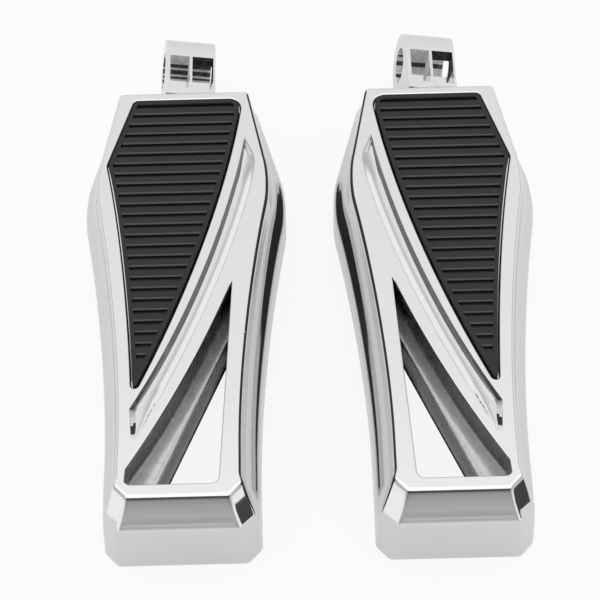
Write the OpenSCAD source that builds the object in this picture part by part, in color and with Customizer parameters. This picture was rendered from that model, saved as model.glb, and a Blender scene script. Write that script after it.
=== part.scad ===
// A pair of motorcycle foot pegs, lying side by side with the tread up.
// Each peg is a hollow cast body with a rubber tread pad, a triangular window
// and a bolted mounting tongue. The left and right pegs are mirror images.
// Millimetres, +Y towards the tongues, +Z up, underside at z = 0, and the
// origin in the middle of the pair's outline.

/* [Pair] */
// Distance between the centre lines of the two pegs
peg_pitch = 68.4; // [60:0.1:90]

/* [Body] */
// Height of the tread plane above the underside
body_h = 24; // [18:0.5:32]
// Inboard end of the body, measured from the origin
body_in_y = 69.5; // [60:0.5:80]
// Half width of the body at its inboard end
body_in_x = 20; // [16:0.5:24]
// How far the tread plane sits in from the widest outline
side_inset = 4.8; // [2:0.1:7]
// Share of the side inset that is left at the inboard end
inset_share_in = 0.5; // [0.3:0.05:1]
// How far the tread plane sits in from the inboard end
in_end_round = 2.1; // [0.5:0.1:4]
// Chamfer round the underside
foot_chamfer = 0.6; // [0:0.1:1]
// Height where the end slope meets the end face
hood_z = 17; // [12:0.5:20]
// Wall left round the lower part of the underside pocket
wall_low = 3.4; // [2.5:0.1:5]
// Wall left round the upper part of the underside pocket
wall_high = 7.6; // [6:0.1:10]
// Metal left between the underside pocket and the pad recess
pocket_roof = 2.8; // [2:0.1:4]
// Height where the pocket gets narrower
pocket_step_z = 9.5; // [6:0.5:12]
// Inboard end of the underside pocket
pocket_in_y = 57; // [50:0.5:60]
// Outboard end of the underside pocket
pocket_out_y = -37; // [-42:0.5:-25]
// Wall left between the underside pocket and the window
window_wall = 4.4; // [3:0.1:6]
// Metal left above the small pocket under the end slope
end_roof = 3; // [2:0.1:5]
// Thickness of the cross ribs in the pocket
rib_t = 2.2; // [1.5:0.1:3]
// Underside of the cross ribs
rib_z = 4; // [1:0.5:10]

/* [Tread pad] */
// Depth of the recess for the pad and its plate
recess_d = 3.2; // [2:0.1:5]
// Gap between the pad and the recess wall
pad_gap = 0.3; // [0.1:0.05:0.6]
// Height of the pad border above the tread plane
pad_proud = 0.4; // [0:0.1:2]
// Thickness of the steel backing plate
plate_t = 1.2; // [0.8:0.1:2]
// Number of grooves across the pad
groove_n = 25; // [10:1:30]
// Distance from groove to groove
groove_pitch = 3.27; // [2.5:0.01:4]
// Width of a groove
groove_w = 1.05; // [0.5:0.05:1.5]
// Depth of a groove
groove_d = 1.2; // [0.5:0.1:1.6]
// Position of the groove nearest the inboard end
groove_y = 62.9; // [58:0.1:64]
// Plain border round the grooved field
pad_border = 1.7; // [1:0.1:3]

/* [Pad studs] */
// Diameter of the studs on the backing plate
stud_dia = 4; // [3:0.5:5]
// Clearance of the stud holes on the diameter
stud_clear = 0.4; // [0.1:0.1:1]
// Length of the studs below the plate
stud_len = 8.2; // [7:0.1:12]
// Nut size across flats
nut_af = 7; // [5.5:0.5:8]
// Nut height
nut_h = 3.2; // [2:0.1:4]
// Chamfer on the corners of nuts and bolt heads
hex_chamfer = 0.4; // [0.2:0.05:0.8]
// Washer outer diameter
washer_dia = 8; // [6:0.5:9]
// Washer thickness
washer_t = 0.8; // [0.5:0.1:1.2]

/* [Crescent groove] */
// Depth of the crescent groove
crescent_d = 1.7; // [0.5:0.1:2.5]

/* [Window] */
// Height of the ledge inside the window
ledge_z = 12; // [6:0.5:18]
// Outboard edge of the window
window_out_y = -50.6; // [-52:0.1:-45]
// Corner radius at the outboard edge of the window
window_r = 2; // [1:0.1:4]

/* [Tongue] */
// Depth of the tongue axis below the tread plane
tongue_drop = 13.5; // [11:0.1:15]
// Width of the tongue blade
tongue_w = 14; // [10:0.1:16]
// Half height of the tongue blade, also the radius of its end
tongue_r = 9; // [7:0.1:10]
// Turn of the tongue about the long axis of the peg
tongue_roll = 10; // [0:1:20]
// Position of the pin hole
pin_y = 85; // [80:0.5:90]
// Diameter of the pin hole
pin_dia = 10; // [8:0.1:11]
// Chamfer at the mouths of the pin hole
pin_chamfer = 0.5; // [0.2:0.1:1]
// Diameter of the round flange seated in the body
flange_dia = 18.4; // [15:0.1:20]
// Depth of the flange seat in the body
flange_d = 3; // [2:0.1:5]
// Part of the flange that stands out of the body
flange_out = 1; // [0.5:0.1:3]
// Clearance of the flange in its seat on the diameter
flange_clear = 0.3; // [0.1:0.1:0.6]
// Metal left beside the slot, on its thinner and its thicker side
slot_side_thin = 0.6; // [0.4:0.05:1.5]
slot_side_thick = 1.1; // [0.6:0.05:2]
// Metal left between the slot and the bolt hole
slot_floor = 1; // [0.6:0.1:2]
// Inboard end of the slot
slot_in_y = 84; // [80:0.5:86]
// Outboard end of the slot
slot_out_y = 72.8; // [71:0.1:76]
// Thickness of the web that splits the slot
web_t = 0.8; // [0.5:0.1:2]

/* [Tongue bolt] */
// Bolt diameter
bolt_dia = 8; // [6:0.5:8]
// Clearance of the bolt hole on the diameter
bolt_clear = 0.6; // [0.2:0.1:1]
// Bolt head size across flats
bolt_af = 13; // [10:0.5:13]
// Bolt head height
bolt_head_h = 5.3; // [4:0.1:6]
// How far the bolt goes past the flange seat
bolt_in = 9.5; // [6:0.5:10]
// Free space past the bolt's point
bolt_space = 1; // [0.5:0.1:2]
// Outer diameter of the spring washer
spring_dia = 13.6; // [11:0.1:14]
// Thickness of the spring washer
spring_t = 2; // [1:0.1:2.5]
// Width of the gap in the spring washer
spring_gap = 1.2; // [0.5:0.1:2]

/* [Hidden] */
$fn = 96;
lift = 1;

// Control points of the outlines, on the half that faces the other peg
shoulder_curve = [[26.6, 46], [27.6, 42.4], [28, 35], [27, 30]];
waist_curve = [[27, 30], [23.2, 10], [19.9, -18], [19.9, -40]];
pad_inner_curve = [[15.6, 61.6], [11.5, 33.6], [1.5, 2.5], [-10.6, -24]];
pad_outer_curve = [[-12, -24], [-13.5, 2], [-16.8, 27], [-20.4, 43.6]];
crescent_left_curve = [[16.9, 52.2], [13.2, 29], [2.8, -4], [-12.3, -30]];
crescent_right_curve = [[20.2, 44.2], [17.3, 24], [4.5, -11.5], [-10.4, -38.5]];
crescent_tail = [-11.8, -38.5];
window_curve = [[13.3, 6.2], [7.2, -9.8], [-0.9, -28], [-13.8, -48.2]];
window_side_x = 10.1;
opening_apex = [12.7, -2.4];
opening_left_x = -7.4;
pad_in_y = 65;
pad_in_x = -13.6;
pad_corner_r = 3;
// End of the body: corner of the side and corner of the end at three heights
hood_top = [[16, -50.4], [12.4, -54]];
hood_mid = [[19, -56.5], [15, -60.2]];
hood_low = [[20, -59], [16.5, -62.7]];
side_end_y = -48.5;
// Side profile: share of the height, of the inset, of the end round and of the
// foot chamfer; the first and last rows lie just outside the body
profile = [[-0.04, 0.325, 0.73, 2.6], [0.025, 0, 0, 0], [0.4, 0, 0, 0], [0.46, 0.08, 0, 0],
    [0.52, 0.3, 0, 0], [0.6, 0.55, 0, 0], [0.7, 0.73, 0.05, 0], [0.84, 0.84, 0.3, 0],
    [0.97, 0.92, 0.75, 0], [1.04, 1.107, 1.33, 0]];
stud_at = [[-7, 42], [-7, 18], [-9, -10]];
rib_at = [31, 5, -23];
end_pocket = [[-13, -58.8], [13, -58.8], [14.5, -54.4], [-14.5, -54.4]];
curve_n = 14;
recess_z = body_h - recess_d;
pocket_z = recess_z - pocket_roof;
stud_end_z = recess_z - stud_len;
tongue_z = body_h - tongue_drop;
plate_top = recess_z + plate_t;
pad_top = body_h + pad_proud;
washer_z = pocket_z - washer_t;
nut_z = washer_z - nut_h;
flange_y = body_in_y - flange_d;
blade_y = body_in_y + flange_out;
head_y = pocket_in_y - spring_t;
bolt_end_y = flange_y + bolt_in;
bolt_hole_end_y = bolt_end_y + bolt_space;

// Point on a cubic curve with four control points
function curve_at(c, t) =
    pow(1 - t, 3) * c[0] + 3 * t * pow(1 - t, 2) * c[1]
    + 3 * t * t * (1 - t) * c[2] + t * t * t * c[3];
function curve_points(c, n) = [for (i = [0:n]) curve_at(c, i / n)];
function arc_points(centre, r, a0, a1, n) =
    [for (i = [0:n]) centre + r * [cos(a0 + (a1 - a0) * i / n), sin(a0 + (a1 - a0) * i / n)]];
function mix(a, b, t) = a + (b - a) * t;
function reversed(v) = [for (i = [len(v) - 1:-1:0]) v[i]];
function flipped(v) = [for (p = v) [-p[0], p[1]]];

// Widest outline of one side, from the inboard end to the hood
side_curve = concat([[body_in_x, body_in_y]], curve_points(shoulder_curve, 6),
    [for (i = [1:curve_n]) curve_at(waist_curve, i / curve_n)],
    [[waist_curve[3][0], side_end_y]]);

// Share of the inset at a position along the peg
function inset_share(y) =
    y < shoulder_curve[0][1] ? 1
    : mix(1, inset_share_in, (y - shoulder_curve[0][1]) / (body_in_y - shoulder_curve[0][1]));

function hood_at(z, k) =
    z > hood_z ? mix(hood_mid[k], hood_top[k], (z - hood_z) / (body_h - hood_z))
    : mix(hood_low[k], hood_mid[k], z / hood_z);

function side_level(f) =
    concat([for (i = [0:len(side_curve) - 1])
        [side_curve[i][0] - f[1] * side_inset * inset_share(side_curve[i][1]),
         side_curve[i][1] - (i == 0 ? f[2] * in_end_round : 0)]],
        [for (k = [0:1]) hood_at(f[0] * body_h, k) - f[3] * foot_chamfer * [0.4, -0.6]]);

function level(f) = concat(reversed(side_level(f)), flipped(side_level(f)));

function at_height(points, z) = [for (p = points) [p[0], p[1], z]];

// Closed shape through rings of points, lowest ring first
module loft(rings) {
    n = len(rings[0]);
    last = len(rings) - 1;
    polyhedron(
        points = [for (r = rings) each r],
        faces = concat(
            [[for (i = [0:n - 1]) i]],
            [for (k = [0:last - 1]) for (i = [0:n - 1])
                each [[k * n + i, (k + 1) * n + i, (k + 1) * n + (i + 1) % n],
                      [k * n + i, (k + 1) * n + (i + 1) % n, k * n + (i + 1) % n]]],
            [[for (i = [n - 1:-1:0]) last * n + i]]));
}

module body_shell() {
    intersection() {
        loft([for (f = profile) at_height(level(f), f[0] * body_h)]);
        translate([-body_in_x * 2, -body_in_y - lift, 0])
            cube([body_in_x * 4, 2 * (body_in_y + lift), body_h]);
    }
}

// Outline of the recess for the pad, shrunk by a margin
function pad_outline(m) = concat(
    arc_points([pad_inner_curve[0][0] - pad_corner_r, pad_in_y - pad_corner_r], pad_corner_r - m, 90, 10, 5),
    [for (i = [0:curve_n]) curve_at(pad_inner_curve, i / curve_n) - m * [0.96, 0.28 - i / curve_n]],
    [for (i = [0:8]) curve_at(pad_outer_curve, i / 8) + m * [1, 0.2 - 0.5 * i / 8]],
    [[pad_in_x + 0.6 * m, pad_in_y - m]]);

// The groove sections run from the inboard tip to the outboard tip
crescent_n = 15;
crescent_tail_n = 3;
function crescent_left(i) =
    i <= crescent_n - crescent_tail_n
    ? curve_at(crescent_left_curve, i / (crescent_n - crescent_tail_n))
    : mix(crescent_left_curve[3], crescent_tail, (i - crescent_n + crescent_tail_n) / crescent_tail_n);
function crescent_right(i) = curve_at(crescent_right_curve, i / crescent_n);
function crescent_depth(i) = crescent_d * min(1, 0.35 + i / 3, 0.3 + (crescent_n - i) / 4);
function crescent_low(i) =
    mix(crescent_left(i), crescent_right(i), 0.12 + 0.45 * pow(i / crescent_n, 2));
function raised(a, b, d) = let (p = mix(a, b, (d + lift) / d)) [p[0], p[1], body_h + lift];

module crescent_cut() {
    loft([for (i = [0:crescent_n])
        let (v = crescent_low(i), d = crescent_depth(i))
        [raised(v, crescent_left(i), d), [v[0], v[1], body_h - d], raised(v, crescent_right(i), d)]]);
}

window_left = curve_points(window_curve, curve_n);
opening_left = [for (i = [0:curve_n])
    mix(opening_apex, [opening_left_x, window_out_y + window_r], i / curve_n)];
function window_outline(left) = concat(left,
    arc_points([left[curve_n][0] + window_r + 0.5, window_out_y + window_r], window_r, 215, 270, 4),
    arc_points([window_side_x - window_r, window_out_y + window_r], window_r, 270, 360, 4));

// Curved outline above the ledge, straight one below it
module window_cut() {
    translate([0, 0, ledge_z]) linear_extrude(body_h - ledge_z + lift) polygon(window_outline(window_left));
    translate([0, 0, -lift]) linear_extrude(ledge_z + 2 * lift) polygon(window_outline(opening_left));
}

// Underside pocket, bounded by the sides of the body and the window wall
function pocket_side(w) = [for (p = side_curve) if (p[1] < pocket_in_y && p[1] > pocket_out_y) [p[0] - w, p[1]]];
function pocket_corner(w) = [mix(shoulder_curve[0][0], body_in_x,
    (pocket_in_y - shoulder_curve[0][1]) / (body_in_y - shoulder_curve[0][1])) - w, pocket_in_y];
function pocket_outline(w) = concat(
    [pocket_corner(w)],
    [for (p = pocket_side(w)) if (p[1] > window_curve[0][1] + window_wall) p],
    [for (i = [0:curve_n - 3]) curve_at(window_curve, i / curve_n) - [window_wall, 0]],
    flipped(reversed(concat([pocket_corner(w)], pocket_side(w)))));

module pocket_cut() {
    difference() {
        union() {
            translate([0, 0, -lift]) linear_extrude(pocket_step_z + lift) polygon(pocket_outline(wall_low));
            translate([0, 0, pocket_step_z - lift])
                linear_extrude(pocket_z - pocket_step_z + lift) polygon(pocket_outline(wall_high));
        }
        for (y = rib_at)
            translate([-body_in_x * 2, y - rib_t / 2, rib_z]) cube([body_in_x * 4, rib_t, body_h]);
    }
    translate([0, 0, -lift]) linear_extrude(hood_z - end_roof + lift) polygon(end_pocket);
}

module along_y(y0, y1, r) {
    translate([0, y0, tongue_z]) rotate([-90, 0, 0]) cylinder(h = y1 - y0, r = r);
}

// Hexagon with its corners chamfered on the free face, which is the lower one
module hexagon(af, h) {
    corner_r = af / 2 / cos(30);
    intersection() {
        cylinder(h = h, r = corner_r, $fn = 6);
        cylinder(h = h, r1 = af / 2 - hex_chamfer / 2, r2 = af / 2 - hex_chamfer / 2 + h / tan(30));
    }
}

module peg_body() {
    color("gainsboro") difference() {
        body_shell();
        translate([0, 0, recess_z]) linear_extrude(recess_d + lift) polygon(pad_outline(0));
        crescent_cut();
        window_cut();
        pocket_cut();
        for (p = stud_at)
            translate([p[0], p[1], pocket_z - lift]) cylinder(h = recess_z - pocket_z + 2 * lift, d = stud_dia + stud_clear);
        along_y(flange_y, body_in_y + lift, (flange_dia + flange_clear) / 2);
        along_y(pocket_in_y - lift, flange_y + lift, (bolt_dia + bolt_clear) / 2);
    }
}

module tread_pad() {
    color("#2b2b2b") difference() {
        translate([0, 0, plate_top]) linear_extrude(pad_top - plate_top) polygon(pad_outline(pad_gap));
        intersection() {
            translate([0, 0, pad_top - groove_d]) linear_extrude(groove_d + lift) polygon(pad_outline(pad_border));
            for (i = [0:groove_n - 1])
                translate([-body_in_x * 2, groove_y - i * groove_pitch - groove_w / 2, pad_top - groove_d])
                    cube([body_in_x * 4, groove_w, groove_d + lift]);
        }
    }
}

module pad_plate() {
    color("dimgray") {
        translate([0, 0, recess_z]) linear_extrude(plate_t) polygon(pad_outline(pad_gap));
        for (p = stud_at)
            translate([p[0], p[1], stud_end_z]) cylinder(h = recess_z - stud_end_z + plate_t / 2, d = stud_dia);
    }
}

module pad_washer(i) {
    color("silver") translate([stud_at[i][0], stud_at[i][1], washer_z]) difference() {
        cylinder(h = washer_t, d = washer_dia);
        translate([0, 0, -lift]) cylinder(h = washer_t + 2 * lift, d = stud_dia + stud_clear);
    }
}

module pad_nut(i) {
    color("silver") translate([stud_at[i][0], stud_at[i][1], nut_z]) difference() {
        hexagon(nut_af, nut_h);
        translate([0, 0, -lift]) cylinder(h = nut_h + 2 * lift, d = stud_dia);
    }
}

// Part of the slot in the tongue, from one position inboard and from one height up
module slot_block(y, z) {
    translate([slot_side_thick - tongue_w / 2, y, z])
        cube([tongue_w - slot_side_thin - slot_side_thick, slot_in_y - y, tongue_z + tongue_r + lift - z]);
}

// Mounting tongue: round flange, blade with a round end, pin hole and slot
module tongue() {
    color("lightgray") translate([0, 0, tongue_z]) rotate([0, tongue_roll, 0]) translate([0, 0, -tongue_z])
    difference() {
        union() {
            along_y(flange_y, blade_y + lift, flange_dia / 2);
            translate([-tongue_w / 2, blade_y, tongue_z - tongue_r]) cube([tongue_w, pin_y - blade_y, 2 * tongue_r]);
            translate([-tongue_w / 2, pin_y, tongue_z]) rotate([0, 90, 0]) cylinder(h = tongue_w, r = tongue_r);
        }
        translate([-tongue_w, pin_y, tongue_z]) rotate([0, 90, 0]) cylinder(h = 2 * tongue_w, d = pin_dia);
        for (s = [-1, 1])
            translate([s * (tongue_w / 2 - pin_chamfer), pin_y, tongue_z]) rotate([0, s * 90, 0])
                cylinder(h = 2 * pin_chamfer, r1 = pin_dia / 2, r2 = pin_dia / 2 + 2 * pin_chamfer);
        along_y(flange_y - lift, bolt_hole_end_y, bolt_dia / 2);
        difference() {
            union() {
                slot_block(slot_out_y, tongue_z + bolt_dia / 2 + slot_floor);
                slot_block(bolt_hole_end_y + slot_floor, tongue_z + slot_floor);
            }
            translate([-web_t / 2, slot_out_y - lift, tongue_z])
                cube([web_t, slot_in_y - slot_out_y + 2 * lift, 2 * tongue_r]);
        }
    }
}

module tongue_bolt() {
    color("silver") {
        translate([0, head_y - bolt_head_h, tongue_z]) rotate([-90, 0, 0]) hexagon(bolt_af, bolt_head_h);
        along_y(head_y - lift, bolt_end_y, bolt_dia / 2);
    }
}

module spring_washer() {
    color("silver") difference() {
        along_y(head_y, pocket_in_y, spring_dia / 2);
        along_y(head_y - lift, pocket_in_y + lift, (bolt_dia + bolt_clear) / 2);
        translate([-spring_gap / 2, head_y - lift, tongue_z + bolt_dia / 4])
            cube([spring_gap, spring_t + 2 * lift, spring_dia]);
    }
}

// Middle of the pair's length, from the lower edge of the end face to the tongue tip
mid_y = (hood_at(profile[1][0] * body_h, 1)[1] + pin_y + tongue_r) / 2;

module left() {
    translate([-peg_pitch / 2, -mid_y, 0]) children();
}

module right() {
    translate([peg_pitch / 2, -mid_y, 0]) mirror([1, 0, 0]) children();
}

// The two tongues are alike, so the right one is moved and not mirrored
module right_as_is() {
    translate([peg_pitch / 2, -mid_y, 0]) children();
}

left() peg_body();  // left_body
left() tread_pad();  // left_tread_pad
left() pad_plate();  // left_pad_plate
left() pad_washer(0);  // left_pad_washer_1
left() pad_washer(1);  // left_pad_washer_2
left() pad_washer(2);  // left_pad_washer_3
left() pad_nut(0);  // left_pad_nut_1
left() pad_nut(1);  // left_pad_nut_2
left() pad_nut(2);  // left_pad_nut_3
left() tongue();  // left_tongue
left() tongue_bolt();  // left_tongue_bolt
left() spring_washer();  // left_spring_washer
right() peg_body();  // right_body
right() tread_pad();  // right_tread_pad
right() pad_plate();  // right_pad_plate
right() pad_washer(0);  // right_pad_washer_1
right() pad_washer(1);  // right_pad_washer_2
right() pad_washer(2);  // right_pad_washer_3
right() pad_nut(0);  // right_pad_nut_1
right() pad_nut(1);  // right_pad_nut_2
right() pad_nut(2);  // right_pad_nut_3
right_as_is() tongue();  // right_tongue
right() tongue_bolt();  // right_tongue_bolt
right() spring_washer();  // right_spring_washer
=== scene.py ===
import math

import bmesh
import bpy
from bpy.props import FloatProperty, FloatVectorProperty, IntProperty, PointerProperty
from bpy.types import Operator, Panel, PropertyGroup
from mathutils import Matrix, Vector
from mathutils.geometry import delaunay_2d_cdt


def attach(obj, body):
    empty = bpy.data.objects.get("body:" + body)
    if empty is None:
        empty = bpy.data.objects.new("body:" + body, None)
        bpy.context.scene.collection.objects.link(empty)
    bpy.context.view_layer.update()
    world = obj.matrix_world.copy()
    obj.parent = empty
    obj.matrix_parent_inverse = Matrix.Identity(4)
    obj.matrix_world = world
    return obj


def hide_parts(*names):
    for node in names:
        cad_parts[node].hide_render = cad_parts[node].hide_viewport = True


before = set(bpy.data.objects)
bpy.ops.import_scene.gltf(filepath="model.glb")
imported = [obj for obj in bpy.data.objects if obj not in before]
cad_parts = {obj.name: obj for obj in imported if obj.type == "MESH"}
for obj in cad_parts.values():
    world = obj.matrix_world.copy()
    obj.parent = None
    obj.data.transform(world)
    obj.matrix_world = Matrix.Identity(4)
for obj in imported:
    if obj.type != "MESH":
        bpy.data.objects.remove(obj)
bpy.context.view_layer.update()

bl_info = {
    "name": "Foot Peg Pair",
    "version": (1, 0, 0),
    "blender": (4, 5, 0),
    "location": "View3D > Sidebar > Foot Pegs",
    "description": "Finishes a pair of chromed foot pegs with rubber treads",
    "category": "Object",
}

MM = 0.001
SIDES = ("left", "right")

# Sizes of one peg in millimetres, as in its solids. +Y runs to the tongue, the
# underside is at z = 0, and the other peg lies on the +X side.
PITCH = 68.4
MID_Y = 15.694
BODY_H = 24.0
IN_Y = 69.5
IN_X = 20.0
INSET = 4.8
IN_ROUND = 2.1
HOOD_Z = 17.0
SHOULDER = ((26.6, 46), (27.6, 42.4), (28, 35), (27, 30))
WAIST = ((27, 30), (23.2, 10), (19.9, -18), (19.9, -40))
SIDE_END = (19.9, -48.5)
HOOD = (((20, -59), (19, -56.5), (16, -50.4)), ((16.5, -62.7), (15, -60.2), (12.4, -54)))
PAD_INNER = ((15.6, 61.6), (11.5, 33.6), (1.5, 2.5), (-10.6, -24))
PAD_OUTER = ((-12, -24), (-13.5, 2), (-16.8, 27), (-20.4, 43.6))
PAD_CORNER = (-13.6, 65)
RECESS_Z = 20.8
PLATE_TOP = 22.0
PAD_TOP = 24.4
PAD_GAP = 0.3
FIRST_GROOVE_Y = 62.9
FIELD_REACH = 4.0
CRESCENT_LEFT = ((16.9, 52.2), (13.2, 29), (2.8, -4), (-12.3, -30))
CRESCENT_RIGHT = ((20.2, 44.2), (17.3, 24), (4.5, -11.5), (-10.4, -38.5))
CRESCENT_TAIL = (-11.8, -38.5)
CRESCENT_D = 1.7
WINDOW_LEFT = ((13.3, 6.2), (7.2, -9.8), (-0.9, -28), (-13.8, -48.2))
WINDOW_OUT_Y = -50.6
WINDOW_SIDE_X = 10.1
OPENING_APEX_Y = -2.4
OPENING_LEFT_X = -7.4
WINDOW_R = 2.0
LEDGE_Z = 12.0
POCKET_Z = 18.0
POCKET_STEP_Z = 9.5
POCKET_IN_Y = 57.0
POCKET_OUT_Y = -37.0
RIB_Z = 4.0
RIB_T = 2.2
RIB_AT = (31, 5, -23)
END_POCKET = ((-13, -58.8), (13, -58.8), (14.5, -54.4), (-14.5, -54.4))
END_POCKET_Z = 14.0
STUD_AT = ((-7, 42), (-7, 18), (-9, -10))
STUD_HOLE_R = 2.2
TONGUE_Z = 10.5
SEAT_R = 9.35
SEAT_Y = 66.5
BOLT_HOLE_R = 4.3

# Rounding and chamfers of the casting
END_INSET = 0.5
EDGE_Z = 23.45
FACE_TOP_Z = 20.6
FOOT_CHAMFER = 0.6
END_CHAMFER = 0.59
HOOD_CHAMFER = (0.24, 0.36)
HOOD_BLEND = 0.8
HOOD_BULGE = 0.35
IN_CORNER = 1.3
SIDE_CORNER = 1.1
HOOD_CORNER = 0.9
PAD_CORNER_R = 3.0
CRESCENT_LIP = 0.16
LEDGE_FILLET = 6.5
LEDGE_EDGE = 0.6
POCKET_WALL = 3.4
POCKET_TOP_WALL = 7.6
POCKET_WINDOW_WALL = 4.4
RIB_EDGE = 0.3

# Sizes of the tongue, which is turned about the peg's long axis
TONGUE_R = 9.0
TONGUE_HALF = 7.0
TONGUE_TURN = math.radians(10)
FLANGE_R = 9.2
FLANGE_T = 1.4
PIN_Y = 85.0
PIN_R = 5.0
TONGUE_BOLT_R = 4.0
SLOT_WEB = 0.4
SLOT_WALLS = (1.1, 0.6)
SLOT_END_Y = 84
BOLT_HOLE_END_Y = 77
TONGUE_ROUND = 0.28
# Start in y, and both ends in z, of the slot and of its deep part
SLOT_STEPS = ((72.8, 5, 12), (78, 1, 9))
# Box and round end that hold the walls of the slot, but not the outside
SLOT_FIELD = ((-6.45, 72.5, -6), (6.45, 91, 8.95))
SLOT_FIELD_R = 8.9
UP = Vector((0, 0, 1))


# Shared helpers


def vec(p, z=0.0):
    return Vector((p[0], p[1], z))


def mix(a, b, t):
    return a + (b - a) * t


def curve_at(c, t):
    """Point on a cubic curve with four control points."""
    u = 1 - t
    return tuple(
        u * u * u * c[0][k] + 3 * t * u * u * c[1][k] + 3 * t * t * u * c[2][k] + t * t * t * c[3][k]
        for k in (0, 1))


def curve_points(c, n, first=0):
    return [curve_at(c, i / n) for i in range(first, n + 1)]


def smooth_value(knots, z):
    """Monotone smooth value through (z, value) knots."""
    if z <= knots[0][0]:
        return knots[0][1]
    if z >= knots[-1][0]:
        return knots[-1][1]
    slopes = [(b[1] - a[1]) / (b[0] - a[0]) for a, b in zip(knots, knots[1:])]
    bends = [slopes[0]]
    for a, b in zip(slopes, slopes[1:]):
        bends.append(0.0 if a * b <= 0 else 2 * a * b / (a + b))
    bends.append(slopes[-1])
    for i in range(len(knots) - 1):
        (z0, v0), (z1, v1) = knots[i], knots[i + 1]
        if z <= z1:
            h = z1 - z0
            t = (z - z0) / h
            return (v0 * (1 + 2 * t) * (1 - t) ** 2 + h * bends[i] * t * (1 - t) ** 2
                    + v1 * t * t * (3 - 2 * t) + h * bends[i + 1] * t * t * (t - 1))


def rounded(a, corner, b, cut, n):
    """Points of a rounded corner that starts cut before it and ends cut after it."""
    p = corner + (a - corner).normalized() * cut
    q = corner + (b - corner).normalized() * cut
    return [p * (1 - t) ** 2 + corner * 2 * t * (1 - t) + q * t * t
            for t in (i / n for i in range(n + 1))]


def round_loop(loop, cut, n=4, angle=14):
    """Rounds the corners of a closed outline."""
    pts = [vec(p) for p in loop]
    out = []
    for i, p in enumerate(pts):
        a, b = pts[i - 1], pts[(i + 1) % len(pts)]
        turn = (p - a).angle(b - p)
        room = min((p - a).length, (b - p).length) * 0.45
        if turn > math.radians(angle):
            out += rounded(a, p, b, min(cut, room), n)
        else:
            out.append(p)
    return out


def outward(loop):
    """Unit normals that point out of a closed outline, in its plane."""
    area = sum(a.x * b.y - b.x * a.y for a, b in zip(loop, loop[1:] + loop[:1]))
    turn = 1 if area > 0 else -1
    out = []
    for i, p in enumerate(loop):
        a = (p - loop[i - 1]).normalized()
        b = (loop[(i + 1) % len(loop)] - p).normalized()
        d = a + b
        n = Vector((d.y, -d.x, 0)).normalized() * turn
        out.append(n / max(0.5, n.dot(Vector((a.y, -a.x, 0)) * turn)))
    return out


def circle(x, y, r, n=48):
    return [Vector((x + r * math.cos(2 * math.pi * i / n), y + r * math.sin(2 * math.pi * i / n), 0))
            for i in range(n)]


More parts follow.
